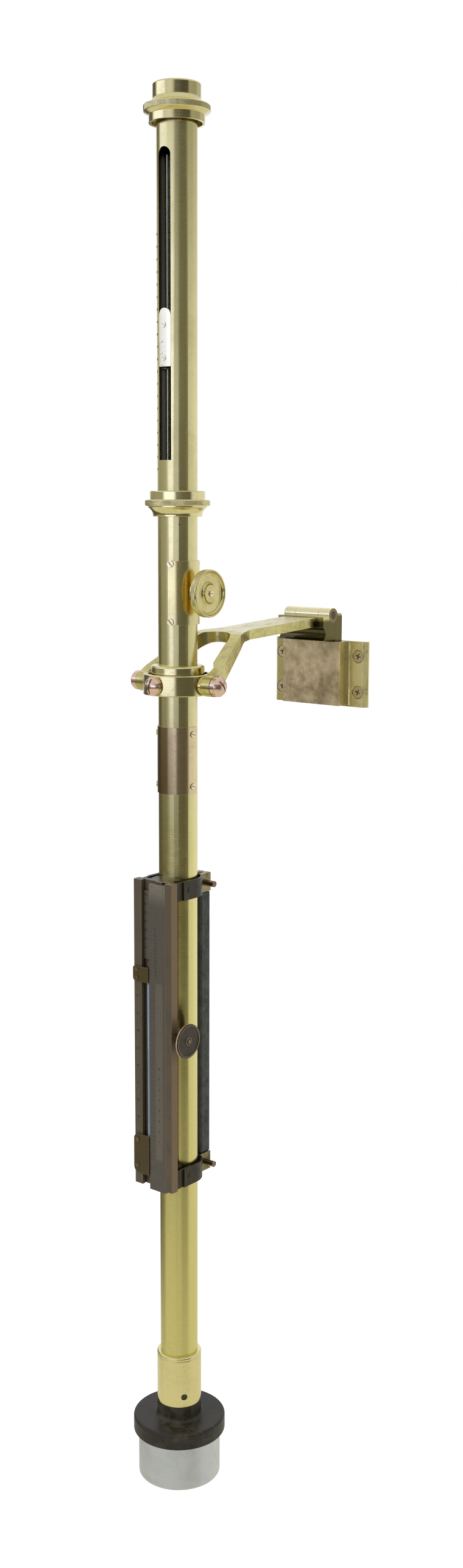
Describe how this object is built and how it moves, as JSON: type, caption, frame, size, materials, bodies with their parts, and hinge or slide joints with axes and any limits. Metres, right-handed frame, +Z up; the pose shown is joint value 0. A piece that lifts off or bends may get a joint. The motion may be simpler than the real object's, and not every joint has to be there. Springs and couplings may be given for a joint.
{
  "type": "marine barometer",
  "caption": "Brass ship's barometer hung in gimbals from a hinged fork arm, with a sighting vernier, a rack-driven correction slide and an iron cistern.",
  "frame": {"origin": "middle of the back face of the wall plate, between its four screws", "axes": "+Z up along the barometer's tube, +Y into the wall, +X to the right as one faces the wall"},
  "size_m": [0.0814, 0.1963, 0.92],
  "materials": {
    "brass": "satin, turned, lightly tarnished",
    "bright_brass": "polished",
    "bronze_plate": "coppery, dulled",
    "copper": "satin, pinkish copper alloy",
    "dark_bronze": "brown-grey patina",
    "silvered": "silvered brass",
    "black_iron": "blackened",
    "steel": "turned iron, finely pitted",
    "ebonite": "dark brown hard rubber, satin",
    "leather": "oiled",
    "glass": "clear",
    "mercury": "liquid metal"
  },
  "bodies": {
    "bracket": {"wall_bracket": "brass", "wall_screws": "bright_brass"},
    "tongue": {"hinge_leaf": "brass"},
    "arm": {"fork_arm": "brass", "hinge_pin": "copper", "outer_pivot_screws": "copper"},
    "ring": {"gimbal_ring": "brass", "inner_pivot_screws": "copper"},
    "barometer": {"gimbal_collar": "brass", "case_tube": "brass", "top_cap": "brass", "cushion_screws": "bright_brass", "middle_flange": "brass", "pinion_saddle": "brass", "saddle_screws": "bright_brass", "pinion_bush": "brass", "data_plate": "bronze_plate", "data_plate_screws": "bright_brass", "glass_tube": "glass", "mercury": "mercury", "tube_cushions": "leather", "cistern_sleeve": "bright_brass", "sleeve_set_screw": "brass", "cistern_lid": "ebonite", "lid_washer": "leather", "cistern_cup": "steel", "slide_body": "dark_bronze", "index_scale": "silvered", "slide_pinion_housing": "dark_bronze", "housing_screws": "dark_bronze", "thermometer": "glass", "thermometer_clip": "bright_brass", "bulb_guard": "bright_brass", "clip_screws": "copper", "clamp_saddles": "dark_bronze", "clamp_bands": "dark_bronze", "clamp_rivets": "dark_bronze", "clamp_lugs": "bright_brass", "clamp_screws": "bright_brass", "balance_bar": "black_iron"},
    "vernier": {"vernier_plate": "silvered", "vernier_screws": "bright_brass", "vernier_sleeve": "brass", "vernier_rack": "brass"},
    "vernier_drive": {"vernier_knob": "brass", "vernier_pinion": "brass", "vernier_knob_screw": "bright_brass"},
    "slide": {"slide_plate": "dark_bronze", "slide_inlay": "silvered"},
    "slide_drive": {"slide_knob": "dark_bronze", "slide_pinion": "dark_bronze", "slide_knob_screw": "copper"}
  },
  "joints": [
    {"name": "tongue_lift", "type": "slide", "parent": "bracket", "child": "tongue", "axis": [0, 0, 1], "range_m": [0, 0.045]},
    {"name": "arm_hinge", "type": "hinge", "parent": "tongue", "child": "arm", "pos_m": [0, -0.0149, 0.0417], "axis": [-1, 0, 0], "range_deg": [0, 90]},
    {"name": "ring_swing", "type": "hinge", "parent": "arm", "child": "ring", "pos_m": [0, -0.1587, 0.0039], "axis": [1, 0, 0], "range_deg": [-30, 30]},
    {"name": "barometer_swing", "type": "hinge", "parent": "ring", "child": "barometer", "pos_m": [0, -0.1587, 0.0039], "axis": [0, 1, 0], "range_deg": [-12, 12]},
    {"name": "vernier_slide", "type": "slide", "parent": "barometer", "child": "vernier", "axis": [0, 0, 1], "range_m": [-0.054, 0.092]},
    {"name": "vernier_turn", "type": "hinge", "parent": "barometer", "child": "vernier_drive", "pos_m": [0, -0.1587, 0.0625], "axis": [1, 0, 0], "range_deg": [-1031, 1757]},
    {"name": "correction_slide", "type": "slide", "parent": "barometer", "child": "slide", "axis": [0, 0, 1], "range_m": [-0.03, 0.03]},
    {"name": "correction_turn", "type": "hinge", "parent": "barometer", "child": "slide_drive", "pos_m": [0, -0.17876, -0.2267], "axis": [1, 0, 0], "range_deg": [-716, 716]}
  ],
  "couplings": [
    {"joint": "vernier_slide", "follows": "vernier_turn", "m_per_rad": 0.003},
    {"joint": "correction_slide", "follows": "correction_turn", "m_per_rad": -0.0024}
  ]
}
